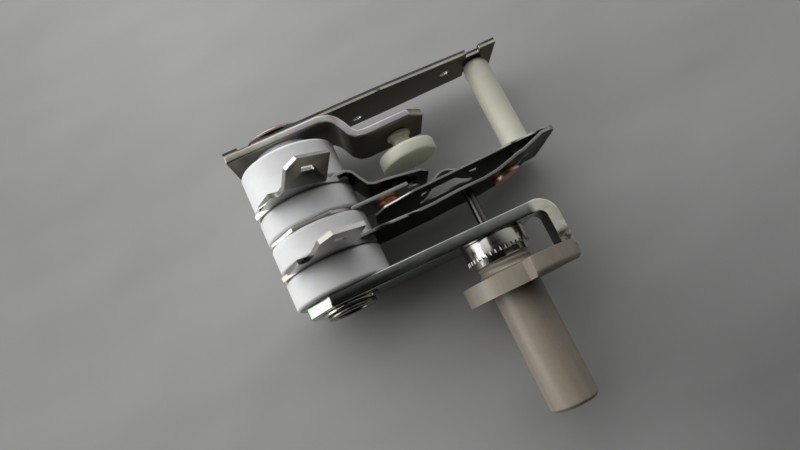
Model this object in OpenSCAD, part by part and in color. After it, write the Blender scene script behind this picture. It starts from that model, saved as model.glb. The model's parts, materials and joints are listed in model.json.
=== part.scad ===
// Adjustable bimetal thermostat of a flat iron: a riveted stack of ceramic rings holds a bimetal strip,
// spring blades, two terminals and a bracket with the control spindle.
// Frame: z runs from the mounting face to the spindle's free end and the stack's axis is x = y = 0.
// The arms reach towards -x and the terminals towards -y.
// Each module draws with the arms along +x and the terminals along +y, and half_turn() puts it in the frame.

/* [Stack] */
// outside diameter of the ceramic rings
ring_d = 12.1; // [10:0.1:15]
// height of the first ring, next to the lever
ring_1_h = 5.1; // [3:0.1:7]
// height of the second ring
ring_2_h = 3.2; // [2:0.1:5]
// height of the third ring
ring_3_h = 3.3; // [2:0.1:5]
// height of the fourth ring, under the bracket
ring_4_h = 3.7; // [2:0.1:5]
// rounding of the rings' outer edges
ring_edge = 0.4; // [0.1:0.05:0.8]
// diameter of the boss that passes through the metal plates
boss_d = 7.0; // [6:0.1:8]
// height of the first ring's boss under the lever
boss_1_h = 1.4; // [0.8:0.1:2]
// bore of the hollow rivet, for the mounting screw
rivet_bore_d = 4.1; // [3:0.1:4.4]
// outside diameter of the hollow rivet
rivet_d = 5.2; // [4.8:0.1:5.8]
// thickness of the rivet's flanges
flange_h = 0.5; // [0.3:0.05:0.8]
// diameter of the flange that rests on the mounting face
flange_d = 8.0; // [7:0.1:9]

/* [Sheet metal] */
// thickness of the bimetal strip
strip_t = 0.7; // [0.5:0.05:1]
// width of the bimetal strip at the stack
strip_w = 7.0; // [6:0.1:9]
// width of the bimetal strip at its free end
strip_tip_w = 6.0; // [5:0.1:7]
// reach of the bimetal strip past the stack axis
strip_reach = 29.8; // [25:0.1:34]
// thickness of the limit lever
lever_t = 1.0; // [0.6:0.1:1.5]
// width of the limit lever
lever_w = 8.4; // [6:0.1:10]
// reach of the limit lever
lever_reach = 17.6; // [16:0.1:20]
// height of the limit lever's step
lever_step = 3.75; // [2:0.05:4]
// thickness of the terminals
term_t = 0.6; // [0.4:0.05:0.8]
// width of a terminal's tab
tab_w = 5.5; // [4:0.1:6.3]
// length of a terminal's tab from its bend
tab_l = 3.5; // [3:0.1:6]
// angle of the upper terminal's tab to its plate
upper_rise = 33; // [10:1:60]
// angle of the lower terminal's tab to its plate
lower_rise = 13; // [5:1:40]
// thickness of the upper contact blade
blade_t = 0.3; // [0.2:0.05:0.5]
// width of the upper contact blade
blade_w = 8.0; // [6:0.1:9]
// reach of the upper contact blade
blade_reach = 15.0; // [13:0.1:16]
// thickness of the fixed contact arm
fixed_t = 0.5; // [0.3:0.05:0.8]
// width of the fixed contact arm
fixed_w = 6.4; // [4:0.1:8]
// reach of the two fixed contacts and the moving one
contact_x = 9.2; // [8.6:0.1:10]
// thickness of the carrier arm
arm_t = 0.4; // [0.3:0.05:0.6]
// thickness of the snap blade
snap_t = 0.25; // [0.15:0.05:0.4]
// height of the bow of the snap blade's tongue
bow_h = 1.6; // [0.8:0.1:2]
// width of the snap blade and the carrier arm at their joined end
arm_w = 10.8; // [9:0.1:12]
// reach of the snap blade and the carrier arm
arm_reach = 30.1; // [26:0.1:34]

/* [Bracket and spindle] */
// distance from the stack axis to the spindle axis
spindle_x = 18.6; // [16:0.1:21]
// diameter of the spindle's shaft
spindle_d = 6.0; // [5:0.1:7]
// length of the shaft below the disc
shaft_l = 14.5; // [8:0.5:25]
// diameter of the stop disc
disc_d = 11.9; // [10:0.1:14]
// thickness of the stop disc
disc_t = 2.3; // [1.5:0.1:3]
// radius of the lobe on the stop disc
lobe_r = 8.7; // [7.5:0.1:9.5]
// angle of the lobe's free face, from the line of the arms
lobe_angle = 85; // [70:1:110]
// rounding of the lobe's rim
lobe_edge = 0.7; // [0.2:0.05:1]
// outside diameter of the spindle's moulded thread
thread_d = 6.3; // [6:0.1:6.8]
// radial clearance of the thread in the bush and of the pin in the spindle
fit_gap = 0.06; // [0.02:0.01:0.1]
// diameter of the adjusting pin
pin_d = 1.28; // [1:0.02:2]
// thickness of the bracket
bracket_t = 1.5; // [1:0.1:2]
// width of the bracket
bracket_w = 9.0; // [8:0.1:11]
// width of the bracket's stop tab
stop_w = 3.3; // [2:0.1:5]
// outside diameter of the bush's collar
collar_d = 8.0; // [7.5:0.1:9]

/* [Ceramic pins] */
// diameter of the push rod
rod_d = 3.4; // [2.5:0.1:4]
// place of the push rod, as a share of the way from the pin's seat to the end of the arms
rod_place = 0.68; // [0.66:0.01:0.7]
// gap between the rod's shoulder and the snap blade when cold
rod_gap = 0.75; // [0.3:0.05:1.2]
// diameter of the mushroom button's head
button_d = 7.3; // [5:0.1:9]
// distance from the end of the lever to the button's axis
button_inset = 3.6; // [2.6:0.1:4]

/* [Part to show] */
// node to draw

/* [Hidden] */
$fn = 64;
ring_r = ring_d / 2;
boss_r = boss_d / 2;
rivet_r = rivet_d / 2;
pin_r = pin_d / 2;
thread_r = thread_d / 2;
slack = 0.05;

// heights of the stack, from the mounting face
z_strip = flange_h;
z_lever = z_strip + strip_t;
z_boss = z_lever + lever_t;
z_ring_1 = z_boss + boss_1_h;
z_blade = z_ring_1 + ring_1_h;
z_term_1 = z_blade + blade_t;
z_ring_2 = z_term_1 + term_t;
z_fixed = z_ring_2 + ring_2_h;
z_ring_3 = z_fixed + fixed_t;
z_arm = z_ring_3 + ring_3_h;
z_term_2 = z_arm + arm_t;
z_ring_4 = z_term_2 + term_t;
z_bracket = z_ring_4 + ring_4_h;
z_washer = z_bracket + bracket_t;
washer_h = 0.45;
z_head = z_washer + washer_h;

// heights along the arms, as the arms are set from the stack
snap_top = z_arm - 2.3;
snap_x = contact_x - 2.2;

// places along the lever and along the arms, between the pin's seat and the end
button_x = lever_reach - button_inset;
seat_end = spindle_x + 1.6;
function reach_at(share) = seat_end + share * (arm_reach - seat_end);
narrow_x = reach_at(0.2);
wide_x = reach_at(0.535);
rivet_x = (narrow_x + wide_x) / 2;
arm_rivet_r = (wide_x - narrow_x) * 0.56;
rod_x = reach_at(rod_place);
joint_x = reach_at(0.83);
arm_path = [
    [-5.4, z_arm], [13.5, z_arm], [spindle_x - 1.6, z_arm - 0.22], [seat_end, z_arm - 0.22],
    [narrow_x, z_arm - 0.45], [wide_x, z_arm - 1.05], [joint_x, snap_top + snap_t],
    [arm_reach, snap_top + snap_t],
];
snap_path = [
    [snap_x, snap_top + 0.35], [contact_x + 1.6, snap_top + 0.35], [narrow_x, snap_top + 0.1],
    [rivet_x + 0.8, snap_top], [arm_reach, snap_top],
];
blade_path = [
    [-5.4, z_blade], [6, z_blade], [6.7, z_blade + 0.5], [7.2, z_blade + 1.5], [7.8, z_blade + 2.5],
    [8.5, z_blade + 2.8], [9.7, z_blade + 2.9], [blade_reach, z_blade + 3.75],
];

// heights of the spindle
bush_collar_h = 2.1;
bush_neck_h = 0.9;
z_collar = z_washer + bush_collar_h;
z_neck = z_collar + bush_neck_h;
z_disc = z_neck + 1.45;
z_shaft = z_disc + disc_t;
z_tip = z_shaft + shaft_l;
z_thread = z_bracket + 0.1;

// slope of a path at a given reach, and its height there
function rise_over_run(a, b) = (b[1] - a[1]) / (b[0] - a[0]);
function slope_at(path, x, i = 0) =
    x <= path[i + 1][0] ? rise_over_run(path[i], path[i + 1]) : slope_at(path, x, i + 1);
function height_at(path, x, i = 0) =
    x <= path[i + 1][0]
        ? path[i][1] + (x - path[i][0]) * rise_over_run(path[i], path[i + 1])
        : height_at(path, x, i + 1);

// outline of a sheet of thickness t that follows a path in its length and height
function heading(a, b) = (b - a) / norm(b - a);
function way(p, i) =
    i == 0 ? heading(p[0], p[1])
    : i == len(p) - 1 ? heading(p[i - 1], p[i])
    : heading([0, 0], heading(p[i - 1], p[i]) + heading(p[i], p[i + 1]));
function mitre(p, i) = i == 0 ? 1 : 1 / (way(p, i) * heading(p[i - 1], p[i]));
function offset_point(p, i, t) = p[i] + [-way(p, i)[1], way(p, i)[0]] * t * mitre(p, i);
function sheet_outline(p, t) = concat(p, [for (i = [len(p) - 1:-1:0]) offset_point(p, i, t)]);

// octagon with sides at half width a, whose corners are cut back by c
function octagon(a, c) = [
    [a, a - c], [a - c, a], [c - a, a], [-a, a - c], [-a, c - a], [c - a, -a], [a - c, -a], [a, c - a],
];

// turns what is drawn with the arms along +x into the frame
module half_turn() {
    rotate([0, 0, 180]) children();
}

// sheet that follows a path, cut to a plan outline
module bent_sheet(path, t, width) {
    intersection() {
        rotate([90, 0, 0]) linear_extrude(width, center = true) polygon(sheet_outline(path, t));
        translate([0, 0, -1]) linear_extrude(z_tip) children();
    }
}

module spot(x, r) {
    translate([x, 0]) circle(r);
}

// slab with the given plan and height
module plate(z, t) {
    translate([0, 0, z]) linear_extrude(t) children();
}

module drum(x, z, r, h) {
    translate([x, 0, z]) cylinder(h = h, r = r);
}

// disc seated on the upper face of a sheet of thickness t, where the sheet slopes
module seated_disc(path, t, x, r, h) {
    lean = -atan(slope_at(path, x));
    translate([x, 0, height_at(path, x)]) rotate([0, lean, 0]) translate([0, 0, t]) cylinder(h = h, r = r);
}

// rivet: the tube that holds the stack and takes the mounting screw
module hollow_rivet() {
    color([0.72, 0.72, 0.70]) difference() {
        union() {
            // flange with a chamfer towards the mounting face
            drum(0, flange_h * 0.3, flange_d / 2, flange_h * 0.7);
            cylinder(h = flange_h * 0.3, r1 = flange_d / 2 - 0.3, r2 = flange_d / 2);
            drum(0, 0, rivet_r, z_head + flange_h);
            drum(0, z_head, 3.1, flange_h);
        }
        drum(0, -1, rivet_bore_d / 2, z_tip);
    }
}

// bimetal strip: notched near both ends, with a hole for setting
module bimetal_strip() {
    w = strip_w / 2;
    tip_w = strip_tip_w / 2;
    taper = [14, strip_reach - 4.8];
    color([0.30, 0.28, 0.27]) half_turn() plate(z_strip, strip_t) difference() {
        polygon([
            [-6.5, -w], [taper[0], -w], [taper[1], -tip_w], [strip_reach, -tip_w],
            [strip_reach, tip_w], [taper[1], tip_w], [taper[0], w], [-6.5, w],
        ]);
        spot(0, rivet_r + slack);
        // holes for setting
        spot(strip_reach - 6.9, 0.7);
        translate([10.5, -2]) circle(0.7);
        for (side = [-1, 1]) {
            translate([-3.7, side * w]) square([1.8, 1.6], center = true);
            translate([rod_x - 0.25, side * tip_w]) square([1.8, 2], center = true);
        }
    }
}

// limit lever: thick plate that steps down to the button
module limit_lever() {
    h = lever_step;
    step = [
        [-6.4, 0], [5.6, 0], [6.9, h * 0.09], [7.7, h * 0.27], [8.3, h * 0.53], [8.8, h * 0.83],
        [9.3, h * 0.96],
        [10, h], [lever_reach, h - 0.1],
    ];
    color([0.75, 0.74, 0.68]) half_turn() difference() {
        bent_sheet([for (p = step) p + [0, z_lever]], lever_t, lever_w) polygon([
            [-7, -lever_w / 2], [lever_reach, -lever_w / 2], [lever_reach, lever_w / 2 - 2],
            [lever_reach - 2, lever_w / 2], [-7, lever_w / 2],
        ]);
        drum(0, 0, rivet_r + slack, z_ring_1);
        drum(button_x, z_lever, 0.8 + slack, 6);
    }
}

// ceramic button: head, stem and collar in one piece, with a peg in the lever
module ceramic_button() {
    under = z_lever + lever_step + lever_t;
    color([0.86, 0.86, 0.76]) half_turn() translate([button_x, 0, 0]) rotate_extrude() polygon([
        [0, under - lever_t], [0.8, under - lever_t], [0.8, under], [1.5, under], [1.5, under + 0.6],
        [1.15, under + 0.6], [1.15, under + 2.25], [button_d / 2 - 0.25, under + 2.25],
        [button_d / 2, under + 2.5], [button_d / 2, under + 3.85], [button_d / 2 - 0.15, under + 4],
        [0, under + 4],
    ]);
}

// ceramic ring with rounded edges and a boss that passes through the metal on its upper side
module ring(z, h, boss_h) {
    e = ring_edge;
    color([0.93, 0.93, 0.92]) difference() {
        rotate_extrude() difference() {
            union() {
                translate([0, z - boss_h]) square([boss_r, boss_h + e]);
                translate([0, z]) square([ring_r - e, h]);
                translate([0, z + e]) square([ring_r, h - 2 * e]);
                for (y = [z + e, z + h - e]) translate([ring_r - e, y]) circle(e);
            }
        }
        drum(0, z - 3, rivet_r + slack, h + 6);
    }
}

module insulator_1() {
    ring(z_ring_1, ring_1_h, boss_1_h);
}

module insulator_2() {
    ring(z_ring_2, ring_2_h, blade_t + term_t);
}

module insulator_3() {
    ring(z_ring_3, ring_3_h, fixed_t);
}

module insulator_4() {
    ring(z_ring_4, ring_4_h, arm_t + term_t);
}

// terminal: octagonal plate with a tongue that bends back over a ring as a solder tab
module terminal(z, rise) {
    bend_r = 6.7;
    off = 3.1;
    neck_l = 1.3;
    turn = 57;
    path = [[2, z], [bend_r, z], [bend_r + cos(rise) * tab_l, z - sin(rise) * tab_l]];
    color([0.66, 0.66, 0.64]) half_turn() difference() {
        union() {
            plate(z, term_t) polygon(octagon(5.9, 3.05));
            rotate([0, 0, turn]) translate([0, off, 0]) {
                rotate([90, 0, 0]) linear_extrude(tab_w, center = true) polygon(sheet_outline(path, term_t));
                plate(z, term_t) translate([2, -tab_w / 2]) square([bend_r - neck_l - 2, tab_w + 1.2]);
            }
        }
        drum(0, z - 1, boss_r + slack, term_t + 2);
        // slot and cut corner of the tab
        rotate([0, 0, turn]) translate([bend_r, off, z]) rotate([0, rise, 0]) {
            translate([tab_l * 0.58, 0, 0]) cube([0.6, 1.7, 4], center = true);
            translate([tab_l, tab_w / 2, 0]) rotate([0, 0, 45]) cube([1.7, 1.7, 4], center = true);
        }
    }
}

module upper_terminal() {
    terminal(z_term_1, upper_rise);
}

module lower_terminal() {
    terminal(z_term_2, lower_rise);
}

// contact blade: thin spring that dips below the button
module contact_blade() {
    w = blade_w / 2;
    color([0.38, 0.37, 0.36]) half_turn() difference() {
        bent_sheet(blade_path, blade_t, blade_w) polygon([
            [-5.4, 1.4 - w], [-4, -w], [blade_reach - 1, -w], [blade_reach, 1.2 - w],
            [blade_reach, w - 1.2], [blade_reach - 1, w], [-4, w], [-5.4, w - 1.4],
        ]);
        drum(0, z_blade - 1, boss_r + slack, 3);
    }
}

// contact on the contact blade, facing the fixed arm
module blade_contact() {
    color([0.80, 0.62, 0.42]) half_turn() seated_disc(blade_path, blade_t, contact_x + 2, 1, 0.35);
}

// fixed arm: flat arm with an octagonal base in the stack
module fixed_arm() {
    color([0.62, 0.62, 0.60]) half_turn() plate(z_fixed, fixed_t) difference() {
        union() {
            polygon(octagon(5.6, 3.2));
            translate([0, -fixed_w / 2]) square([contact_x + 2.8, fixed_w]);
            spot(contact_x + 2.8, fixed_w / 4);
        }
        spot(0, boss_r + slack);
        spot(contact_x, 0.7 + slack);
    }
}

// fixed contact: copper button riveted through the fixed arm
module fixed_contact() {
    color([0.78, 0.45, 0.28]) half_turn() union() {
        drum(contact_x, z_fixed - 0.4, 1.2, 0.4);
        drum(contact_x, z_fixed - 0.4, 0.7, fixed_t + 0.85);
        drum(contact_x, z_fixed + fixed_t, 1.6, 0.45);
    }
}

// carrier arm: spring that the adjusting pin bends, joined to the snap blade at its end
module carrier_arm() {
    w = arm_w / 2;
    color([0.45, 0.44, 0.42]) half_turn() difference() {
        bent_sheet(arm_path, arm_t, arm_w) polygon([
            [-5.4, -2.6], [-3.4, -4.6], [8, -4.6], [12, -4], [narrow_x, -4], [wide_x - 0.5, -w],
            [arm_reach - 0.6, -w], [arm_reach, -w + 0.6], [arm_reach, w - 0.6], [arm_reach - 0.6, w],
            [wide_x - 0.5, w], [narrow_x, 4], [12, 4], [8, 4.6], [-3.4, 4.6], [-5.4, 2.6],
        ]);
        drum(0, z_arm - 1, boss_r + slack, 3);
        drum(rod_x, z_arm - 4, 0.95, 6);
    }
}

// copper rivet on the carrier arm
module arm_rivet() {
    color([0.85, 0.50, 0.36]) half_turn() seated_disc(arm_path, arm_t, rivet_x, arm_rivet_r, 0.6);
}

// snap blade: frame with a bowed centre tongue
module snap_blade() {
    w = arm_w / 2;
    window = [contact_x + 3.8, narrow_x - 1.8];
    folds = 12;
    bow_path = [
        for (i = [0:folds]) let (x = window[0] - 0.1 + (window[1] - window[0] + 0.2) * i / folds)
            [x, height_at(snap_path, x) - bow_h * (1 - cos(360 * i / folds)) / 2]
    ];
    color([0.55, 0.55, 0.53]) half_turn() union() {
        difference() {
            bent_sheet(snap_path, snap_t, arm_w) polygon([
                [snap_x, -2.2], [snap_x + 1.2, -4], [12, -w], [arm_reach - 0.6, -w], [arm_reach, -w + 0.6],
                [arm_reach, w - 0.6], [arm_reach - 0.6, w], [12, w], [snap_x + 1.2, 4], [snap_x, 2.2],
            ]);
            // window around the tongue
            translate([window[0], -2.6, snap_top - 2]) cube([window[1] - window[0], 5.2, 4]);
            drum(rod_x, snap_top - 1, 0.95, 3);
        }
        rotate([90, 0, 0]) linear_extrude(3, center = true) polygon(sheet_outline(bow_path, snap_t));
    }
}

// moving contact on the snap blade, resting against the fixed contact
module moving_contact() {
    top = z_fixed + fixed_t + 0.45;
    color([0.80, 0.62, 0.42]) half_turn() drum(contact_x, top, 1.4, snap_path[0][1] - top);
}

// bracket: thick plate with a narrow stop tab bent down at its end
module bracket() {
    end = spindle_x + disc_d / 2 + 0.1;
    outer_r = bracket_t + 0.9;
    tab_y = bracket_w / 2 - stop_w;
    flat_end = end + bracket_t - outer_r;
    color([0.62, 0.66, 0.62]) half_turn() difference() {
        union() {
            plate(z_bracket, bracket_t) polygon([
                [-4.9, -bracket_w / 2 + 3.1], [-1.8, -bracket_w / 2], [flat_end, -bracket_w / 2],
                [flat_end, bracket_w / 2], [-1.8, bracket_w / 2], [-4.9, bracket_w / 2 - 3.1],
            ]);
            // quarter bend, then the straight tab
            translate([flat_end, bracket_w / 2, z_bracket + outer_r]) rotate([90, 0, 0])
                linear_extrude(stop_w) intersection() {
                    difference() {
                        circle(outer_r);
                        circle(outer_r - bracket_t);
                    }
                    translate([0, -outer_r]) square(outer_r);
                }
            translate([end, tab_y, z_bracket + outer_r]) cube([bracket_t, stop_w, 4.9]);
        }
        drum(0, z_bracket - 1, rivet_r + slack, bracket_t + 2);
        drum(spindle_x, z_bracket - 1, collar_d / 2 - 0.4, bracket_t + 2);
    }
}

module rivet_washer() {
    color([0.70, 0.71, 0.69]) difference() {
        drum(0, z_washer, 3.65, washer_h);
        drum(0, z_washer - 1, rivet_r + slack, washer_h + 2);
    }
}

// bush: staked in the bracket, bored for the spindle's thread
module bush() {
    color([0.78, 0.76, 0.72]) half_turn() difference() {
        union() {
            drum(spindle_x, z_bracket, collar_d / 2 - 0.4, bracket_t);
            drum(spindle_x, z_washer, collar_d / 2, bush_collar_h);
            drum(spindle_x, z_collar, collar_d / 2 - 0.35, bush_neck_h);
        }
        drum(spindle_x, z_bracket - 1, thread_r + fit_gap, 8);
    }
}

module adjusting_pin() {
    z = height_at(arm_path, spindle_x) + arm_t;
    color([0.70, 0.70, 0.70]) half_turn() drum(spindle_x, z, pin_r, z_thread + 2 - z);
}

// spindle: moulded thread, stop disc with its lobe, and shaft, in one piece
module spindle() {
    stop_y = bracket_w / 2 + slack;
    color([0.60, 0.56, 0.50]) half_turn() difference() {
        union() {
            drum(spindle_x, z_thread, thread_r, z_disc - z_thread);
            drum(spindle_x, z_disc, disc_d / 2, disc_t);
            // lobe, rounded towards the shaft at its rim
            translate([spindle_x, 0, z_disc]) intersection() {
                rotate_extrude() union() {
                    square([lobe_r - lobe_edge, disc_t]);
                    square([lobe_r, disc_t - lobe_edge]);
                    translate([lobe_r - lobe_edge, disc_t - lobe_edge]) circle(lobe_edge);
                }
                linear_extrude(disc_t) polygon([
                    [0, 0], [2, stop_y], [12, stop_y], [12, 12], [12 / tan(lobe_angle), 12],
                ]);
            }
            translate([spindle_x, 0, 0]) rotate_extrude() polygon([
                [0, z_shaft], [spindle_d / 2, z_shaft], [spindle_d / 2, z_tip - 0.4],
                [spindle_d / 2 - 0.4, z_tip], [0, z_tip],
            ]);
        }
        drum(spindle_x, z_thread - 1, pin_r + fit_gap, 3);
    }
}

// push rod: ceramic, with a rounded head under the strip and a thin tip through the arms
module push_rod() {
    r = rod_d / 2;
    shoulder = snap_top - rod_gap;
    tip = snap_top + 1;
    color([0.88, 0.89, 0.80]) half_turn() translate([rod_x, 0, 0]) rotate_extrude() polygon([
        [0, z_lever], [0.9, z_lever], [1.3, z_lever + 0.2], [1.55, z_lever + 0.6], [r, z_lever + 1.3],
        [r, shoulder], [0.75, shoulder], [0.75, tip], [0, tip],
    ]);
}

hollow_rivet();
bimetal_strip();
limit_lever();
ceramic_button();
insulator_1();
contact_blade();
blade_contact();
upper_terminal();
insulator_2();
fixed_arm();
fixed_contact();
insulator_3();
carrier_arm();
arm_rivet();
snap_blade();
moving_contact();
lower_terminal();
insulator_4();
bracket();
rivet_washer();
bush();
adjusting_pin();
spindle();
push_rod();
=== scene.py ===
# %% [markdown]
# # Thermostat of a flat iron: dressing the solid model
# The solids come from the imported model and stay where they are. This lesson gives each piece the edges,
# the small forms and the finish that the real part shows, and then lights it as it lies on a sheet of paper.
# Everything is in the frame of the solids: z runs along the stack, the arms reach towards -x and the solder
# tabs face -y. Blender works in metres. Named sizes of the part and the paper are in millimetres and are
# multiplied by MM where they are used; the places of the camera and the lamps are in metres.

# %% Load the frame
import json
import math

import bmesh
import bpy
from mathutils import Matrix, Vector


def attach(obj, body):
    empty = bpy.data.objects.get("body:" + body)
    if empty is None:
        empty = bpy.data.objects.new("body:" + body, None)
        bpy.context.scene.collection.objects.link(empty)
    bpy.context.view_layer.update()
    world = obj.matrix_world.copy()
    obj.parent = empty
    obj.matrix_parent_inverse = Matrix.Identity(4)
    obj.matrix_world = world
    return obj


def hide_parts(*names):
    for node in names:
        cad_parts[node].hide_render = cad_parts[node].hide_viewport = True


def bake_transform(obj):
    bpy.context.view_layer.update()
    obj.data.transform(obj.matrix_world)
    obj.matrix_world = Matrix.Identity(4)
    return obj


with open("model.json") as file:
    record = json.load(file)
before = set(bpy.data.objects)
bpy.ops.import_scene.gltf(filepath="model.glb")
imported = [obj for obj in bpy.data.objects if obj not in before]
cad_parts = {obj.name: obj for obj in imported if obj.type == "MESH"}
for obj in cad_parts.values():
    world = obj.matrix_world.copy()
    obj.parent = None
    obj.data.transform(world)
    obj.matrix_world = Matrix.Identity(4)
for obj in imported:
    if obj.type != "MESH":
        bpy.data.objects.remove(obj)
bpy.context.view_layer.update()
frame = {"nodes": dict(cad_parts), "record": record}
MM = 0.001
motion = frame["record"]["behaviour"]
body_of_node = {node: body for body, nodes in motion["bodies"].items() for node in nodes}
slot_of_node = {part["node"]: part["material_slot"] for part in frame["record"]["subparts"]}
joint_place = {joint["name"]: joint["pos_m"] for joint in motion["joints"] if "pos_m" in joint}
coupling_ratio = {coupling["joint"]: coupling["ratio"] for coupling in motion["couplings"]}

# %% [markdown]
# ## The camera
# The part was photographed from close by, so the perspective is strong: the camera stands about 7 cm away.
# A camera looks along its own -z, so the turn is built from the three directions of the picture.

# %% Camera
right = Vector((-0.9039, 0.0020, 0.4277))
up = Vector((-0.4188, -0.2079, -0.8840))
forward = Vector((-0.0872, 0.9781, -0.1888))
camera_place = (-0.00299, -0.07086, 0.03033)
camera_data = bpy.data.cameras.new("camera")
camera_data.sensor_width = 36.0
camera_data.lens = 26.8
camera_data.clip_start = 0.002
camera_data.clip_end = 20.0
camera = bpy.data.objects.new("camera", camera_data)
bpy.context.scene.collection.objects.link(camera)
turn = Matrix((right, up, -forward)).transposed().to_4x4()
camera.matrix_world = Matrix.Translation(camera_place) @ turn
bpy.context.scene.camera = camera
print("camera at", tuple(round(v, 4) for v in camera.matrix_world.translation))

# %% [markdown]
# ## A small kit for finishes
# Every finish is a node material on Object coordinates, which are metres here because no piece is moved,
# turned or scaled. So a noise scale of 2000 gives grains half a millimetre across.

# %% Helpers for materials
def new_finish(name):
    material = bpy.data.materials.new(name)
    material.use_nodes = True
    shader = material.node_tree.nodes["Principled BSDF"]
    return material, shader


def add_node(material, kind, **inputs):
    node = material.node_tree.nodes.new(kind)
    for key, value in inputs.items():
        node.inputs[key.replace("_", " ")].default_value = value
    return node


def link(material, out_socket, in_socket):
    material.node_tree.links.new(out_socket, in_socket)


def grain(material, scale, stretch=(1, 1, 1), detail=4.0, rough=0.55, offset=(0, 0, 0)):
    """A noise pattern on object coordinates; stretch above 1 packs it tighter along that axis."""
    where = material.node_tree.nodes.new("ShaderNodeTexCoord")
    mapping = add_node(material, "ShaderNodeMapping")
    mapping.inputs["Scale"].default_value = stretch
    mapping.inputs["Location"].default_value = offset
    noise = add_node(material, "ShaderNodeTexNoise", Scale=scale, Detail=detail, Roughness=rough)
    link(material, where.outputs["Object"], mapping.inputs["Vector"])
    link(material, mapping.outputs["Vector"], noise.inputs["Vector"])
    return noise.outputs["Fac"]


def ranged(material, value, low, high, start=0.35, end=0.65):
    """Spreads a pattern between two values."""
    node = add_node(material, "ShaderNodeMapRange")
    for key, number in (("From Min", start), ("From Max", end), ("To Min", low), ("To Max", high)):
        node.inputs[key].default_value = number
    link(material, value, node.inputs["Value"])
    return node.outputs["Result"]


def mixed(material, factor, colour_a, colour_b):
    """Mixes two colours, each a tuple or a socket."""
    node = material.node_tree.nodes.new("ShaderNodeMix")
    node.data_type = "RGBA"
    link(material, factor, node.inputs[0])
    for socket, colour in ((node.inputs[6], colour_a), (node.inputs[7], colour_b)):
        if isinstance(colour, tuple):
            socket.default_value = (*colour, 1.0)
        else:
            link(material, colour, socket)
    return node.outputs[2]


def raised(material, shader, height, depth, under=None):
    """Adds a bump of the given depth in metres, on top of another bump if there is one."""
    bump = add_node(material, "ShaderNodeBump", Strength=1.0, Distance=depth)
    link(material, height, bump.inputs["Height"])
    if under is not None:
        link(material, under, bump.inputs["Normal"])
    link(material, bump.outputs["Normal"], shader.inputs["Normal"])
    return bump.outputs["Normal"]


print("kit for finishes ready")

# %% [markdown]
# ## Ceramic
# The rings are steatite, pressed dry and fired without a glaze. That gives a white with a fine sandy grain,
# a few darker specks, and almost no gloss. The button and the rod are the same material in a cream shade.
# Light goes a little way into the ceramic, which softens its shadows.

# %% Ceramic finishes
SAND_DEPTH = 0.012
DENT_DEPTH = 0.020
GLOSS_SPREAD = 0.08


def ceramic(name, light, dark, roughness, glow_depth):
    """Unglazed ceramic between two tones; glow_depth is how far light goes in, in millimetres."""
    material, shader = new_finish(name)
    shader.inputs["Subsurface Weight"].default_value = 0.6
    shader.inputs["Subsurface Radius"].default_value = (1.0, 1.0, 0.8)
    shader.inputs["Subsurface Scale"].default_value = glow_depth * MM
    shader.inputs["IOR"].default_value = 1.52
    shader.inputs["Specular IOR Level"].default_value = 0.4
    cloud = ranged(material, grain(material, 220.0), 0.0, 1.0)
    specks = ranged(material, grain(material, 5200.0, detail=1.0), 0.0, 0.35, start=0.70, end=0.78)
    base = mixed(material, cloud, light, dark)
    link(material, mixed(material, specks, base, tuple(0.6 * c for c in dark)), shader.inputs["Base Color"])
    gloss = ranged(material, grain(material, 900.0), roughness - GLOSS_SPREAD, roughness + GLOSS_SPREAD)
    link(material, gloss, shader.inputs["Roughness"])
    sand = raised(material, shader, grain(material, 7000.0, detail=3.0), SAND_DEPTH * MM)
    raised(material, shader, grain(material, 900.0, detail=2.0), DENT_DEPTH * MM, under=sand)
    return material


white_ceramic = ceramic("white_ceramic", (0.84, 0.85, 0.85), (0.78, 0.785, 0.78), 0.50, 0.4)
cream_ceramic = ceramic("cream_ceramic", (0.74, 0.75, 0.635), (0.66, 0.67, 0.54), 0.42, 1.4)
print("ceramic finishes made")

# %% [markdown]
# ## Metal
# Each sheet keeps the fine lines of its rolling, which run along the strip. They show as a streaky roughness
# more than as a colour, so one noise pattern, stretched along the sheet, drives the roughness and a very
# shallow bump. Some finishes get soft tints: plating goes lilac, straw and greenish in places, and brown
# where it was heated. A tint is a colour, how fine its patches are, and the noise value at which they start.

# %% Metal finishes
LINE_DEPTH = 0.0012
STREAK_SPREAD = 0.05
TINT_SHARE = 0.85
TINT_SOFTNESS = 0.16


def tinted(material, colour, tints):
    """Lays each tint over the colour, in patches of its own."""
    for number, (tint, scale, start) in enumerate(tints):
        offset = (0.37 * number + 0.2, 0.61 * number, 0.23 * number)
        patches = grain(material, scale, detail=3.0, offset=offset)
        share = ranged(material, patches, 0.0, TINT_SHARE, start=start, end=start + TINT_SOFTNESS)
        colour = mixed(material, share, colour, tint)
    return colour


def sheet_metal(name, light, dark, roughness, lines=(60, 1600, 1600), tints=(), wave=0.004):
    """Metal between two tones; lines is how fine the streaks are on each axis, wave is in millimetres."""
    material, shader = new_finish(name)
    shader.inputs["Metallic"].default_value = 1.0
    streaks = grain(material, 1.0, stretch=lines, detail=6.0, rough=0.7)
    cloud = ranged(material, grain(material, 260.0, offset=(0.3, 0.1, 0.7)), 0.0, 1.0)
    link(material, tinted(material, mixed(material, cloud, light, dark), tints), shader.inputs["Base Color"])
    gloss = ranged(material, streaks, roughness - STREAK_SPREAD, roughness + STREAK_SPREAD)
    link(material, gloss, shader.inputs["Roughness"])
    fine = raised(material, shader, streaks, LINE_DEPTH * MM)
    raised(material, shader, grain(material, 420.0, detail=2.0), wave * MM, under=fine)
    return material


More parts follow.
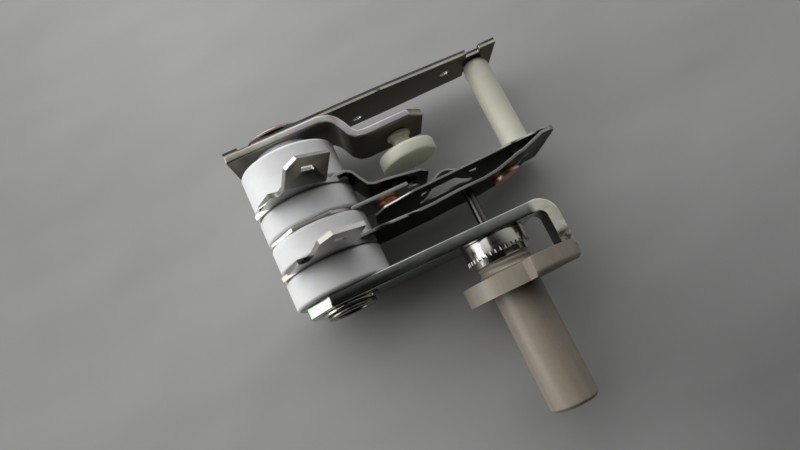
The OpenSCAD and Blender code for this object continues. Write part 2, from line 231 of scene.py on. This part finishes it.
LILAC = (0.46, 0.42, 0.50)
STRAW = (0.56, 0.54, 0.40)
GREENISH = (0.46, 0.50, 0.40)
BROWN = (0.30, 0.25, 0.21)
ANY_WAY = (700, 700, 700)
TURNED = (90, 90, 2600)
DRAWN = (2000, 2000, 60)
spring_metal = sheet_metal("spring_steel", (0.46, 0.46, 0.42), (0.34, 0.34, 0.31), 0.20)
blade_metal = sheet_metal("snap_steel", (0.52, 0.52, 0.49), (0.40, 0.40, 0.37), 0.20)
tinned_metal = sheet_metal(
    "tinned_steel", (0.58, 0.58, 0.54), (0.50, 0.495, 0.46), 0.22, lines=(240, 240, 240), wave=0.002)
plated_metal = sheet_metal("plated_steel", (0.65, 0.63, 0.585), (0.54, 0.52, 0.475), 0.16, lines=TURNED)
pin_metal = sheet_metal("pin_steel", (0.17, 0.17, 0.165), (0.13, 0.13, 0.125), 0.24, lines=DRAWN)
copper_metal = sheet_metal(
    "copper", (0.82, 0.40, 0.24), (0.62, 0.24, 0.12), 0.30, lines=ANY_WAY, tints=((STRAW, 500.0, 0.58),))
pale_copper = sheet_metal("pale_copper", (0.95, 0.64, 0.54), (0.90, 0.55, 0.43), 0.40, lines=ANY_WAY)
rivet_metal = sheet_metal("rivet_steel", (0.36, 0.30, 0.27), (0.26, 0.215, 0.19), 0.24, lines=TURNED)
contact_metal = sheet_metal("contact_alloy", (0.74, 0.68, 0.60), (0.62, 0.55, 0.47), 0.26, lines=ANY_WAY)
print("metal finishes made")

# %% [markdown]
# A finish can change from place to place on one piece. Three masks say where: a ramp along an axis of the
# frame, a ramp on the direction that a surface faces, and one mask inside another.

# %% Masks by place and by facing
def along(material, axis, start, end):
    """A ramp from 0 to 1 between two places, in millimetres, on one axis of the frame."""
    where = material.node_tree.nodes.new("ShaderNodeTexCoord")
    split = material.node_tree.nodes.new("ShaderNodeSeparateXYZ")
    link(material, where.outputs["Object"], split.inputs[0])
    return ranged(material, split.outputs[axis], 0.0, 1.0, start=start * MM, end=end * MM)


def facing(material, axis, start, end):
    """A ramp from 0 to 1 on one part of the surface's direction, so a face can differ from an edge."""
    surface = material.node_tree.nodes.new("ShaderNodeNewGeometry")
    split = material.node_tree.nodes.new("ShaderNodeSeparateXYZ")
    link(material, surface.outputs["Normal"], split.inputs[0])
    return ranged(material, split.outputs[axis], 0.0, 1.0, start=start, end=end)


def both(material, mask_a, mask_b):
    """One mask inside another."""
    node = material.node_tree.nodes.new("ShaderNodeMath")
    node.operation = "MULTIPLY"
    link(material, mask_a, node.inputs[0])
    link(material, mask_b, node.inputs[1])
    return node.outputs[0]


def painted(material, mask, colour=None, roughness=None):
    """Changes the colour, the roughness or both where the mask is 1."""
    shader = material.node_tree.nodes["Principled BSDF"]
    if colour is not None:
        before = shader.inputs["Base Color"].links[0].from_socket
        link(material, mixed(material, mask, before, colour), shader.inputs["Base Color"])
    if roughness is not None:
        node = add_node(material, "ShaderNodeMix")
        link(material, mask, node.inputs[0])
        link(material, shader.inputs["Roughness"].links[0].from_socket, node.inputs[2])
        node.inputs[3].default_value = roughness
        link(material, node.outputs[0], shader.inputs["Roughness"])


print("masks ready")

# %% [markdown]
# ## The bracket
# The bracket is plated sheet. Its flat part is smooth. Round the outside of the bend the plating looks pale
# and crazed, with dark spots towards the tab's end. The inside of the bend is painted dark, a painted
# reflection of the shaded parts that it faces. The places and tones were chosen from the one side that can
# be seen, and the paint runs on over the far side unchanged.

# %% Bracket finish
BEND_START = -23.1
BEND_END = -23.7
SPOTS_START = 25.6
SPOTS_END = 26.1


def bracket_finish():
    material = sheet_metal(
        "zinc_bracket", (0.53, 0.57, 0.51), (0.38, 0.42, 0.37), 0.16, lines=(90, 1200, 1200))
    outside = both(material, along(material, "X", BEND_START, BEND_END), facing(material, "X", 0.45, 0.15))
    crazed = ranged(material, grain(material, 1500.0, detail=5.0), 0.0, 1.0, start=0.40, end=0.60)
    painted(material, outside, mixed(material, crazed, (0.74, 0.73, 0.62), (0.90, 0.89, 0.79)), 0.50)
    tab_end = both(material, outside, along(material, "Z", SPOTS_START, SPOTS_END))
    spots = ranged(material, grain(material, 1300.0, detail=4.0), 0.35, 1.0, start=0.42, end=0.56)
    painted(material, both(material, tab_end, spots), (0.13, 0.14, 0.11), 0.36)
    # Painted shade: the inside of the bend is painted dark in place of the shaded parts it mirrors.
    inside = both(material, along(material, "X", BEND_START, BEND_END), facing(material, "X", 0.15, 0.45))
    painted(material, inside, (0.12, 0.12, 0.11))
    return material


bracket_metal = bracket_finish()
print("bracket finish made")

# %% [markdown]
# ## The lever, the leaves and the terminals
# The lever is thick sheet with heat tints, and it is darker at its stack end. The broad faces that look
# towards the spindle, on the lever, the leaves and the blade, are painted darker than the cut edges, and
# their gloss is greyed. This is painted shade for the dark room that these faces mirror; how dark they are
# was chosen. The terminal nearer the bracket is painted a little darker than the other, as painted shade.

# %% Lever, leaf and terminal finishes
DARK_END_START = 0.0
DARK_END_END = 4.5
SECOND_TERMINAL_START = 12.0
SECOND_TERMINAL_END = 14.0


def painted_shade_face(material, colour, roughness):
    """Paints shade on the broad face towards the spindle: a set colour and a greyed gloss, with the cut edges
    left bright.
    """
    mask = facing(material, "Z", 0.3, 0.6)
    painted(material, mask, colour, roughness)
    shader = material.node_tree.nodes["Principled BSDF"]
    link(material, mixed(material, mask, (1.0, 1.0, 1.0), (0.30, 0.30, 0.29)), shader.inputs["Specular Tint"])


def lever_finish():
    material = sheet_metal(
        "zinc_lever", (0.60, 0.59, 0.54), (0.48, 0.47, 0.43), 0.33, lines=(300, 1400, 1400),
        tints=((LILAC, 300.0, 0.50), (STRAW, 340.0, 0.50), (GREENISH, 260.0, 0.55), (BROWN, 220.0, 0.60)))
    # Darker in patches towards the stack end.
    stack_end = along(material, "X", DARK_END_START, DARK_END_END)
    dark_end_patches = both(material, stack_end, ranged(material, grain(material, 500.0), 0.5, 1.0))
    painted(material, dark_end_patches, (0.26, 0.24, 0.21))
    # Painted shade on the lever's broad face towards the spindle.
    painted_shade_face(material, (0.28, 0.265, 0.235), 0.34)
    return material


lever_metal = lever_finish()
# Painted shade: the lower terminal, nearer the bracket, is made a little darker.
shaded_terminal_mask = along(tinned_metal, "Z", SECOND_TERMINAL_START, SECOND_TERMINAL_END)
painted(tinned_metal, shaded_terminal_mask, (0.45, 0.435, 0.415))
# Painted shade on the broad faces of the leaves and the blade.
painted_shade_face(spring_metal, (0.24, 0.25, 0.23), 0.24)
painted_shade_face(blade_metal, (0.38, 0.40, 0.36), 0.30)
print("lever, leaf and terminal finishes made")

# %% [markdown]
# The strip is two metals rolled into one: the side towards the sole plate is dark and the other side is pale.
# The pale layer shows on the cut edge only, because its broad face is dark too. Each point of the strip's
# mesh carries its depth in the sheet, from 0 to 1, so the two layers stay in place when the strip bends.

# %% Bimetal finish
def bimetal_finish():
    material = sheet_metal(
        "bimetal", (0.13, 0.12, 0.115), (0.075, 0.07, 0.068), 0.24, tints=((BROWN, 240.0, 0.60),))
    depth = material.node_tree.nodes.new("ShaderNodeAttribute")
    depth.attribute_name = "depth"
    pale_layer = ranged(material, depth.outputs["Fac"], 0.0, 1.0, start=0.48, end=0.52)
    below_face = ranged(material, depth.outputs["Fac"], 1.0, 0.0, start=0.93, end=0.96)
    patches = ranged(material, grain(material, 500.0, detail=3.0), 0.0, 1.0)
    pale = mixed(material, patches, (0.60, 0.58, 0.44), (0.46, 0.43, 0.42))
    painted(material, both(material, pale_layer, below_face), pale)
    # The strip's broad face gets the same painted shade: a set grey and a greyed gloss.
    painted_shade_face(material, (0.24, 0.23, 0.205), 0.22)
    return material


bimetal_metal = bimetal_finish()
print("bimetal finish made")

# %% [markdown]
# ## The spindle's plastic
# The spindle is moulded from a filled, heat-resistant plastic. It is a warm grey with faint flow lines along
# the shaft, a fine speckle from the filler, and a dull surface. It turns, so it has the same tone all round,
# and the light alone makes one side of it paler.

# %% Plastic finish
SKIN_DEPTH = 0.010


def filled_plastic(name):
    material, shader = new_finish(name)
    shader.inputs["IOR"].default_value = 1.5
    flow = ranged(material, grain(material, 1.0, stretch=(700, 700, 60), detail=5.0), 0.0, 1.0)
    speckle = ranged(material, grain(material, 6000.0, detail=2.0), 0.0, 0.5, start=0.55, end=0.75)
    base = mixed(material, flow, (0.315, 0.277, 0.222), (0.270, 0.234, 0.182))
    base = tinted(material, base, (((0.25, 0.215, 0.165), 330.0, 0.60),))
    link(material, mixed(material, speckle, base, (0.37, 0.33, 0.275)), shader.inputs["Base Color"])
    link(material, ranged(material, flow, 0.34, 0.44, start=0.0, end=1.0), shader.inputs["Roughness"])
    raised(material, shader, grain(material, 5000.0, detail=3.0), SKIN_DEPTH * MM)
    return material


spindle_plastic = filled_plastic("spindle_plastic")
finish_of_slot = {
    "white_ceramic": white_ceramic, "cream_ceramic": cream_ceramic, "bimetal": bimetal_metal,
    "zinc_steel": bracket_metal, "spring_steel": spring_metal, "tinned_steel": tinned_metal,
    "plated_steel": plated_metal, "copper": copper_metal, "contact_alloy": contact_metal,
    "spindle_plastic": spindle_plastic,
}
special_finish = {
    "limit_lever": lever_metal, "snap_blade": blade_metal, "adjusting_pin": pin_metal,
    "arm_rivet": pale_copper, "hollow_rivet": rivet_metal,
}
print("finishes:", len(finish_of_slot) + len(special_finish))

# %% [markdown]
# ## Edges that catch the light
# A solid from the modeller has perfectly sharp edges, but a stamped, pressed or turned edge is rounded by a
# tenth of a millimetre or so, and that is where a part glints. Each node is copied, its loose triangles are
# merged back into whole faces, and a narrow bevel rounds the sharp edges. The copy then stands for the node.
# A bevel alone makes the faces beside it look swollen. Weighted normals cure that. On sheet the largest
# faces decide almost alone, so flats look flat. On turned pieces the faces count by their area.

# %% Rounding helpers
def whole_faces(mesh):
    """Merges the loose triangles of a node's copy and joins the flat ones."""
    work = bmesh.new()
    work.from_mesh(mesh)
    bmesh.ops.remove_doubles(work, verts=work.verts, dist=1e-7)
    bmesh.ops.dissolve_limit(work, angle_limit=math.radians(0.5), verts=work.verts, edges=work.edges)
    work.to_mesh(mesh)
    work.free()


def settled(piece):
    """Turns a piece with modifiers into a plain mesh."""
    graph = bpy.context.evaluated_depsgraph_get()
    mesh = bpy.data.meshes.new_from_object(piece.evaluated_get(graph))
    piece.modifiers.clear()
    piece.data = mesh
    return piece


def smooth_by_angle(mesh, degrees=32):
    for face in mesh.polygons:
        face.use_smooth = True
    mesh.set_sharp_from_angle(angle=math.radians(degrees))


def broad_faces_decide(piece, weight):
    """Lets the broad faces decide the shading, so only the narrow rounding between them curves."""
    smooth_by_angle(piece.data)
    weighted = piece.modifiers.new("shading", "WEIGHTED_NORMAL")
    weighted.weight = weight
    weighted.keep_sharp = True
    settled(piece)


print("rounding helpers ready")

# %% [markdown]
# The width of each rounding is in millimetres. Blender can clamp a bevel to what the narrowest face allows.
# That is off for the bracket, where the narrow faces of the bend would hold back every other edge.

# %% Rounded copies
sheet_pieces = {
    "limit_lever", "upper_terminal", "lower_terminal", "contact_blade", "fixed_arm", "bracket",
    "bimetal_strip", "carrier_arm", "snap_blade",
}
SHEET_WEIGHT = 90
TURNED_WEIGHT = 50
BEVEL_SEGMENTS = 2
SHARP_EDGE = 28


def rounded_copy(node, width):
    mesh = frame["nodes"][node].data.copy()
    mesh.name = node + "_finished"
    whole_faces(mesh)
    piece = bpy.data.objects.new(node + "_finished", mesh)
    bpy.context.scene.collection.objects.link(piece)
    bevel = piece.modifiers.new("round", "BEVEL")
    bevel.width = width * MM
    bevel.segments = BEVEL_SEGMENTS
    bevel.limit_method = "ANGLE"
    bevel.angle_limit = math.radians(SHARP_EDGE)
    bevel.use_clamp_overlap = node != "bracket"
    settled(piece)
    broad_faces_decide(piece, SHEET_WEIGHT if node in sheet_pieces else TURNED_WEIGHT)
    piece.data.materials.clear()
    piece.data.materials.append(special_finish.get(node, finish_of_slot[slot_of_node[node]]))
    return piece


rounding = {
    "hollow_rivet": 0.18, "limit_lever": 0.22, "ceramic_button": 0.12, "upper_terminal": 0.16,
    "lower_terminal": 0.16, "contact_blade": 0.04, "blade_contact": 0.08, "fixed_arm": 0.07,
    "fixed_contact": 0.10, "arm_rivet": 0.12, "moving_contact": 0.08, "bracket": 0.15,
    "rivet_washer": 0.10, "bush": 0.10, "adjusting_pin": 0.05, "spindle": 0.16, "push_rod": 0.06,
    "insulator_1": 0.03, "insulator_2": 0.03, "insulator_3": 0.03, "insulator_4": 0.03,
}
for node, width in rounding.items():
    piece = rounded_copy(node, width)
    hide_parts(node)
    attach(piece, body_of_node[node])
print("rounded copies:", len(rounding))

# %% [markdown]
# ## Leaves that bend
# The bimetal strip, the carrier arm and the snap blade are springs. The solids turn as stiff leaves, so the
# visible copies get cross cuts a millimetre apart, where they could bend smoothly from one body to the next.
# Nothing here bends them or ties them to a body.

# %% Bending leaves
CUT_STEP = 1.0
CUT_OFFSET = 0.013
ON_PLANE = 1e-8


def cross_cuts(mesh, start, end):
    """Cuts the mesh across x; the small offset keeps the first cut off the edges that are there."""
    work = bmesh.new()
    work.from_mesh(mesh)
    x = start - CUT_OFFSET
    while x > end:
        parts = work.verts[:] + work.edges[:] + work.faces[:]
        bmesh.ops.bisect_plane(
            work, geom=parts, plane_co=(x * MM, 0, 0), plane_no=(1, 0, 0), dist=ON_PLANE)
        x -= CUT_STEP
    work.to_mesh(mesh)
    work.free()


def bending_leaf(node, width, start, end):
    piece = rounded_copy(node, width)
    cross_cuts(piece.data, max(start, end), min(start, end))
    broad_faces_decide(piece, SHEET_WEIGHT)
    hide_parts(node)
    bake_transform(piece)
    print(node, "faces:", len(piece.data.polygons))


def mark_depth(mesh, low, high):
    """Writes how deep in the sheet each point lies, from 0 to 1."""
    depth = mesh.attributes.new("depth", "FLOAT", "POINT")
    for point, value in zip(mesh.vertices, depth.data):
        value.value = (point.co.z / MM - low) / (high - low)


rings_edge = joint_place["arm_feed"][0] / MM
STRIP_BENT_TO = -24.5
ARM_BENT_TO = -12.0
BLADE_BENT_FROM = -29.4
BLADE_BENT_TO = -22.5
bending_leaf("bimetal_strip", 0.08, rings_edge, STRIP_BENT_TO)
bending_leaf("carrier_arm", 0.05, rings_edge, ARM_BENT_TO)
bending_leaf("snap_blade", 0.04, BLADE_BENT_FROM, BLADE_BENT_TO)
strip_heights = [v.co.z / MM for v in frame["nodes"]["bimetal_strip"].data.vertices]
mark_depth(bpy.data.objects["bimetal_strip_finished"].data, min(strip_heights), max(strip_heights))

# %% [markdown]
# ## Details that repeat
# Two details repeat: the serration on the bush's edge next to the disc, and the turns of the moulded thread.
# Each is a small Geometry Nodes tree with named inputs, and the result is turned into a plain mesh.

# %% Kit for repeats
def new_tree(name, inputs):
    """An empty tree with named inputs and one geometry output."""
    tree = bpy.data.node_groups.new(name, "GeometryNodeTree")
    tree.interface.new_socket(name="Geometry", in_out="OUTPUT", socket_type="NodeSocketGeometry")
    for label, kind, value in inputs:
        socket = tree.interface.new_socket(name=label, in_out="INPUT", socket_type="NodeSocket" + kind)
        socket.default_value = value
    return tree, tree.nodes.new("NodeGroupInput"), tree.nodes.new("NodeGroupOutput")


def made_by(tree, name, finish, settings):
    """Runs a tree on an empty mesh and returns the plain piece."""
    piece = bpy.data.objects.new(name, bpy.data.meshes.new(name))
    bpy.context.scene.collection.objects.link(piece)
    modifier = piece.modifiers.new("repeat", "NODES")
    modifier.node_group = tree
    for item in tree.interface.items_tree:
        if item.in_out == "INPUT" and item.name in settings:
            modifier[item.identifier] = settings[item.name]
    settled(piece)
    piece.data.materials.clear()
    piece.data.materials.append(finish)
    return piece


print("kit for repeats ready")

# %% [markdown]
# The bush's own solid says where its collar is and where the bush ends, so the details move with it.

# %% Places on the bush
ON_COLLAR = 0.01
spindle_x = joint_place["spindle_turn"][0] / MM
bush_points = [v.co / MM for v in frame["nodes"]["bush"].data.vertices]


def off_axis(point):
    return math.hypot(point.x - spindle_x, point.y)


collar_r = max(off_axis(point) for point in bush_points)
collar_end = max(point.z for point in bush_points if off_axis(point) > collar_r - ON_COLLAR)
bush_end = max(point.z for point in bush_points)
print("collar radius and end, bush end:", round(collar_r, 3), round(collar_end, 3), round(bush_end, 3))

# %% [markdown]
# A tooth of the serration is a low ridge, flat at the back and rounded at the front. The tree puts one at
# each point of a circle and turns it by its share of the round.

# %% Tooth of the serration
TOOTH_WIDTH = 0.38
TOOTH_HEIGHT = 0.45
TOOTH_DEPTH = 0.10
TOP_WIDTH = 0.8
TOP_DEPTH = 0.6


def ridge(width, height, depth):
    """A small ridge along z that faces +x and narrows towards its top."""
    mesh = bpy.data.meshes.new("ridge")
    work = bmesh.new()
    arc = [math.radians(-90 + 30 * step) for step in range(7)]
    low = []
    high = []
    for a in arc:
        x = depth * math.cos(a)
        y = width / 2 * math.sin(a)
        low.append(work.verts.new((x, y, -height / 2)))
        high.append(work.verts.new((TOP_DEPTH * x, TOP_WIDTH * y, height / 2)))
    for i in range(len(arc) - 1):
        work.faces.new((low[i], low[i + 1], high[i + 1], high[i]))
    work.faces.new(high)
    work.faces.new(low[::-1])
    work.faces.new((low[-1], low[0], high[0], high[-1]))
    bmesh.ops.recalc_face_normals(work, faces=work.faces)
    work.to_mesh(mesh)
    work.free()
    return bpy.data.objects.new("ridge", mesh)


tooth = ridge(TOOTH_WIDTH * MM, TOOTH_HEIGHT * MM, TOOTH_DEPTH * MM)
print("tooth faces:", len(tooth.data.polygons))

# %% Serration
TEETH = 38
TOOTH_ROOT = 0.03
TOOTH_INSET = 0.12


def serration_tree(ridge_piece, finish):
    tree, given, result = new_tree("serration", (
        ("Teeth", "Int", 36), ("Radius", "Float", 0.004), ("Centre", "Vector", (0.0, 0.0, 0.0))))
    nodes, wire = tree.nodes, tree.links.new
    circle = nodes.new("GeometryNodeMeshCircle")
    shape = nodes.new("GeometryNodeObjectInfo")
    shape.inputs["Object"].default_value = ridge_piece
    number = nodes.new("GeometryNodeInputIndex")
    share = nodes.new("ShaderNodeMath")
    share.operation = "DIVIDE"
    turn = nodes.new("ShaderNodeMath")
    turn.operation = "MULTIPLY"
    turn.inputs[1].default_value = 2 * math.pi
    angles = nodes.new("ShaderNodeCombineXYZ")
    place = nodes.new("GeometryNodeInstanceOnPoints")
    move = nodes.new("GeometryNodeTransform")
    real = nodes.new("GeometryNodeRealizeInstances")
    paint = nodes.new("GeometryNodeSetMaterial")
    paint.inputs["Material"].default_value = finish
    wire(given.outputs["Teeth"], circle.inputs["Vertices"])
    wire(given.outputs["Radius"], circle.inputs["Radius"])
    wire(number.outputs[0], share.inputs[0])
    wire(given.outputs["Teeth"], share.inputs[1])
    wire(share.outputs[0], turn.inputs[0])
    wire(turn.outputs[0], angles.inputs["Z"])
    wire(circle.outputs["Mesh"], place.inputs["Points"])
    wire(shape.outputs["Geometry"], place.inputs["Instance"])
    wire(angles.outputs[0], place.inputs["Rotation"])
    wire(place.outputs[0], move.inputs["Geometry"])
    wire(given.outputs["Centre"], move.inputs["Translation"])
    wire(move.outputs[0], real.inputs[0])
    wire(real.outputs[0], paint.inputs["Geometry"])
    wire(paint.outputs[0], result.inputs["Geometry"])
    return tree


serration = made_by(serration_tree(tooth, plated_metal), "bush_serration", plated_metal, {
    "Teeth": TEETH, "Radius": (collar_r - TOOTH_ROOT) * MM,
    "Centre": (spindle_x * MM, 0.0, (collar_end - TOOTH_INSET) * MM)})
bpy.data.objects.remove(tooth)
smooth_by_angle(serration.data, degrees=50)
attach(serration, "root")
print("serration faces:", len(serration.data.polygons))

# %% [markdown]
# The thread shows between the bush and the disc. It is a spiral with a small six-sided profile. Its pitch,
# in metres, comes from the coupling that feeds the pin, and it turns with the spindle.

# %% Thread
TURNS = 1.35
THREAD_R = 3.14
PROFILE_R = 0.24
FIRST_TURN = 0.26
pitch = 2 * math.pi * coupling_ratio["pin_feed"]


def thread_tree(finish):
    tree, given, result = new_tree("thread", (
        ("Turns", "Float", 1.6), ("Pitch", "Float", 0.00075), ("Radius", "Float", 0.0031),
        ("Profile", "Float", 0.00025), ("Start", "Vector", (0.0, 0.0, 0.0))))
    nodes, wire = tree.nodes, tree.links.new
    spiral = nodes.new("GeometryNodeCurveSpiral")
    spiral.inputs["Resolution"].default_value = 48
    rise = nodes.new("ShaderNodeMath")
    rise.operation = "MULTIPLY"
    upright = nodes.new("GeometryNodeSetCurveNormal")
    upright.mode = "Z_UP"
    profile = nodes.new("GeometryNodeCurvePrimitiveCircle")
    profile.inputs["Resolution"].default_value = 6
    sweep = nodes.new("GeometryNodeCurveToMesh")
    sweep.inputs["Fill Caps"].default_value = True
    move = nodes.new("GeometryNodeTransform")
    real = nodes.new("GeometryNodeRealizeInstances")
    paint = nodes.new("GeometryNodeSetMaterial")
    paint.inputs["Material"].default_value = finish
    wire(given.outputs["Turns"], spiral.inputs["Rotations"])
    wire(given.outputs["Turns"], rise.inputs[0])
    wire(given.outputs["Pitch"], rise.inputs[1])
    wire(rise.outputs[0], spiral.inputs["Height"])
    wire(given.outputs["Radius"], spiral.inputs["Start Radius"])
    wire(given.outputs["Radius"], spiral.inputs["End Radius"])
    wire(given.outputs["Profile"], profile.inputs["Radius"])
    wire(spiral.outputs["Curve"], upright.inputs["Curve"])
    wire(upright.outputs["Curve"], sweep.inputs["Curve"])
    wire(profile.outputs["Curve"], sweep.inputs["Profile Curve"])
    wire(sweep.outputs["Mesh"], move.inputs["Geometry"])
    wire(given.outputs["Start"], move.inputs["Translation"])
    wire(move.outputs[0], real.inputs[0])
    wire(real.outputs[0], paint.inputs["Geometry"])
    wire(paint.outputs[0], result.inputs["Geometry"])
    return tree


thread = made_by(thread_tree(spindle_plastic), "spindle_thread", spindle_plastic, {
    "Turns": TURNS, "Pitch": pitch, "Radius": THREAD_R * MM, "Profile": PROFILE_R * MM,
    "Start": (spindle_x * MM, 0.0, (bush_end + FIRST_TURN) * MM)})
smooth_by_angle(thread.data, degrees=35)
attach(thread, "spindle")
print("thread faces:", len(thread.data.polygons))

# %% [markdown]
# ## The sheet of paper and the light
# The part lies on its side on a sheet of light grey paper. The rings come within 0.06 mm of the sheet and the
# spindle's disc within 0.15 mm, so both look as if they rest on it. Most of the light comes from the left,
# low over the paper, so surfaces that face left are brighter than the paper. What stands round the real
# sheet isn't known, so its light and shade are painted into the paper: painted shade makes it a little darker
# on the left and in the lower right corner, and painted light makes it a little paler at the top. From
# behind, the sheet would hide the part, so its back is clear.

# %% Paper
PAPER_GAP = 0.055
PAPER_LEFT = 64.0
PAPER_LENGTH = 1200.0
PAPER_MIDDLE_Z = 20.0
CORNER_X = (-2.0, -42.0)
CORNER_Z = (18.0, 52.0)
TOP_Z = (6.0, -14.0)
LEFT_X = (8.0, 36.0)
FOLD_DEPTH = 3.0
WRINKLE_DEPTH = 0.7
FIBRE_DEPTH = 0.03


def paper_sheet(length, y, left_end):
    """A level sheet that faces the camera and ends a little outside the picture on the window's side."""
    mesh = bpy.data.meshes.new("paper")
    work = bmesh.new()
    bmesh.ops.create_grid(work, x_segments=40, y_segments=40, size=length / 2)
    place = Matrix.Translation((left_end - length / 2, y, PAPER_MIDDLE_Z * MM))
    stand = place @ Matrix.Rotation(math.radians(90), 4, "X")
    bmesh.ops.transform(work, verts=work.verts, matrix=stand)
    work.to_mesh(mesh)
    work.free()
    sheet = bpy.data.objects.new("paper", mesh)
    bpy.context.scene.collection.objects.link(sheet)
    return sheet


def paper_finish():
    material, shader = new_finish("paper")
    shader.inputs["Roughness"].default_value = 0.70
    # Painted shade on the left and in the lower right corner, painted light at the top.
    painted_shade_corner = both(material, along(material, "X", *CORNER_X), along(material, "Z", *CORNER_Z))
    grey = mixed(material, painted_shade_corner, (0.465, 0.465, 0.46), (0.27, 0.27, 0.267))
    grey = mixed(material, along(material, "Z", *TOP_Z), grey, (0.52, 0.52, 0.515))
    grey = mixed(material, along(material, "X", *LEFT_X), grey, (0.385, 0.385, 0.38))
    link(material, grey, shader.inputs["Base Color"])
    wide = grain(material, 1.0, stretch=(9, 9, 16), detail=1.0)
    folds = raised(material, shader, wide, FOLD_DEPTH * MM)
    small = grain(material, 1.0, stretch=(34, 34, 52), detail=2.0)
    wrinkles = raised(material, shader, small, WRINKLE_DEPTH * MM, under=folds)
    raised(material, shader, grain(material, 60.0, detail=2.0), FIBRE_DEPTH * MM, under=wrinkles)
    clear = material.node_tree.nodes.new("ShaderNodeBsdfTransparent")
    choose = material.node_tree.nodes.new("ShaderNodeMixShader")
    side = material.node_tree.nodes.new("ShaderNodeNewGeometry")
    link(material, side.outputs["Backfacing"], choose.inputs[0])
    link(material, shader.outputs[0], choose.inputs[1])
    link(material, clear.outputs[0], choose.inputs[2])
    link(material, choose.outputs[0], material.node_tree.nodes["Material Output"].inputs["Surface"])
    return material


rings_side = max(v.co.y for v in frame["nodes"]["insulator_1"].data.vertices)
paper = paper_sheet(PAPER_LENGTH * MM, rings_side + PAPER_GAP * MM, PAPER_LEFT * MM)
paper.data.materials.append(paper_finish())
print("paper at y =", round(rings_side / MM + PAPER_GAP, 3), "mm")

# %% [markdown]
# The window is two area lights: a low pane beside the table, which mirrors in every facet that faces left,
# and a high pane towards the upper left of the picture and the camera. At a distance r, a small soft light of
# pi squared times r squared watts makes a surface that faces it render about as its colour is written. Each
# pane's level is a share of that. These panes are nearly as wide as they are far away, or wider, and their
# outer parts shine at a slant, so each gives a little over half of that light. A surface that faces between
# the two gets about all of it.

# %% Window
MIDDLE_OF_PART = (-0.010, 0.0, 0.016)


def window_light(name, toward, distance, width, height, level):
    data = bpy.data.lights.new(name, "AREA")
    data.shape = "RECTANGLE"
    data.size = width
    data.size_y = height
    data.energy = level * math.pi ** 2 * distance ** 2
    lamp = bpy.data.objects.new(name, data)
    bpy.context.scene.collection.objects.link(lamp)
    direction = Vector(toward).normalized()
    lamp.location = Vector(MIDDLE_OF_PART) + direction * distance
    lamp.rotation_euler = direction.to_track_quat("Z", "Y").to_euler()
    return lamp


window_light("window_low", (0.96, -0.08, -0.14), distance=0.32, width=0.30, height=0.27, level=0.68)
window_light("window_high", (0.60, -0.40, -0.69), distance=0.35, width=0.48, height=0.58, level=0.99)
bpy.context.scene.view_settings.view_transform = "Standard"
print("window lit")

# %% [markdown]
# The room is bright towards -z, which is up in the picture, and a little towards -x. It is nearly black round
# the camera and towards +z. So metal that faces the camera squarely mirrors the dark, and metal that faces a
# little upwards in the picture mirrors the light. Two ramps are added up: a steep one at the edge of the
# dark, and a slow one from there to the brightest direction. Each says where it starts and ends, and what it
# adds at both.

# %% Room
BRIGHTEST_TOWARD = (-0.26, 0.0, -0.966)
EDGE_OF_DARK = (0.13, 0.26, 0.006, 0.36)
SLOW_RISE = (0.26, 1.0, 0.0, 0.95)


def room_light(brightest_toward, ramps):
    world = bpy.data.worlds.new("room")
    bpy.context.scene.world = world
    world.use_nodes = True
    nodes, wire = world.node_tree.nodes, world.node_tree.links.new
    direction = nodes.new("ShaderNodeTexCoord")
    aim = nodes.new("ShaderNodeVectorMath")
    aim.operation = "DOT_PRODUCT"
    aim.inputs[1].default_value = brightest_toward
    wire(direction.outputs["Generated"], aim.inputs[0])
    total = nodes.new("ShaderNodeMath")
    for place, (start, end, dark, bright) in enumerate(ramps):
        shade = nodes.new("ShaderNodeMapRange")
        for key, number in (("From Min", start), ("From Max", end), ("To Min", dark), ("To Max", bright)):
            shade.inputs[key].default_value = number
        wire(aim.outputs["Value"], shade.inputs["Value"])
        wire(shade.outputs["Result"], total.inputs[place])
    tone = nodes.new("ShaderNodeCombineColor")
    for channel in ("Red", "Green", "Blue"):
        wire(total.outputs[0], tone.inputs[channel])
    wire(tone.outputs[0], nodes["Background"].inputs["Color"])
    nodes["Background"].inputs["Strength"].default_value = 1.0


room_light(BRIGHTEST_TOWARD, (EDGE_OF_DARK, SLOW_RISE))
print("room lit")
